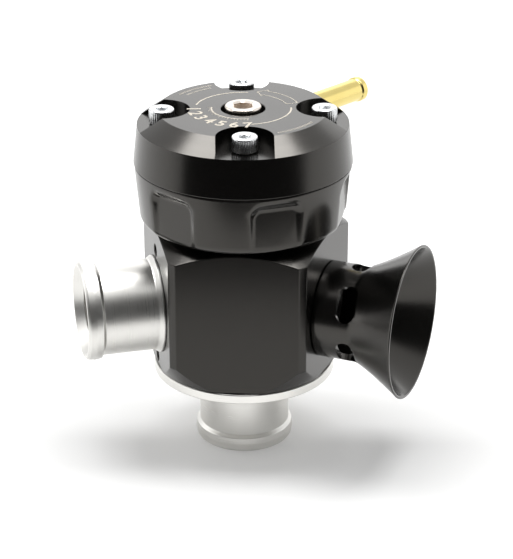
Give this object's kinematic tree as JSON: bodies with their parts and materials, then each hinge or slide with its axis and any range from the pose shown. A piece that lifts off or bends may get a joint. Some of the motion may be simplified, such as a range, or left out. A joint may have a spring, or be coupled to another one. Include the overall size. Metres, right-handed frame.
{
  "type": "blow off valve",
  "caption": "Turbo blow off valve: a sprung piston in a turning ported sleeve vents an inlet tail to a side hose tail and a slotted trumpet.",
  "frame": {"origin": "the middle of the whole footprint, at the height of the inlet tail's end that the valve stands on", "axes": "+Z along the valve's axis from the inlet tail to the cap; -Y out of the front flat of the body, with the return tail on the left and the trumpet on the right"},
  "size_m": [0.1018, 0.0738, 0.0994],
  "materials": {
    "black_anodised": "black anodised, fine turned, satin",
    "bright_aluminium": "bright turned",
    "zinc_plate": "zinc plated",
    "brass": "bright turned",
    "rubber": "matt",
    "spring_steel": "bright wire"
  },
  "bodies": {
    "valve": {"valve_body": "black_anodised", "inlet_adaptor": "bright_aluminium", "inlet_oring": "rubber", "inlet_screw_1": "zinc_plate", "inlet_screw_2": "zinc_plate", "inlet_screw_3": "zinc_plate", "inlet_screw_4": "zinc_plate", "return_tail": "bright_aluminium", "return_oring": "rubber", "trumpet": "black_anodised", "trumpet_oring": "rubber"},
    "head": {"bias_sleeve": "black_anodised", "sleeve_circlip": "spring_steel", "sleeve_oring": "rubber", "cap": "black_anodised", "cap_oring": "rubber", "cap_screw_1": "zinc_plate", "cap_screw_2": "zinc_plate", "cap_screw_3": "zinc_plate", "cap_screw_4": "zinc_plate", "vacuum_nipple": "brass", "piston_spring": "spring_steel"},
    "piston": {"piston": "bright_aluminium", "piston_ring_lower": "rubber", "piston_ring_upper": "rubber"},
    "spring_seat": {"spring_seat": "bright_aluminium"},
    "preload": {"preload_screw": "zinc_plate"}
  },
  "joints": [
    {"name": "bias_turn", "type": "hinge", "parent": "valve", "child": "head", "pos_m": [-0.00274, -0.00163, 0.067], "axis": [0, 0, 1], "range_deg": [-34, 34]},
    {"name": "piston_slide", "type": "slide", "parent": "head", "child": "piston", "axis": [0, 0, 1], "range_m": [0, 0.018], "stiffness_N_per_m": 1500, "springref_m": -0.01, "deforming": ["piston_spring"]},
    {"name": "preload_slide", "type": "slide", "parent": "head", "child": "spring_seat", "axis": [0, 0, -1], "range_m": [0, 0.003]},
    {"name": "preload_turn", "type": "hinge", "parent": "spring_seat", "child": "preload", "pos_m": [-0.00274, -0.00163, 0.0934], "axis": [0, 0, -1], "range_deg": [-5, 1085]}
  ],
  "couplings": [
    {"joint": "preload_turn", "follows": "preload_slide", "rad_per_m": 6283.2}
  ]
}
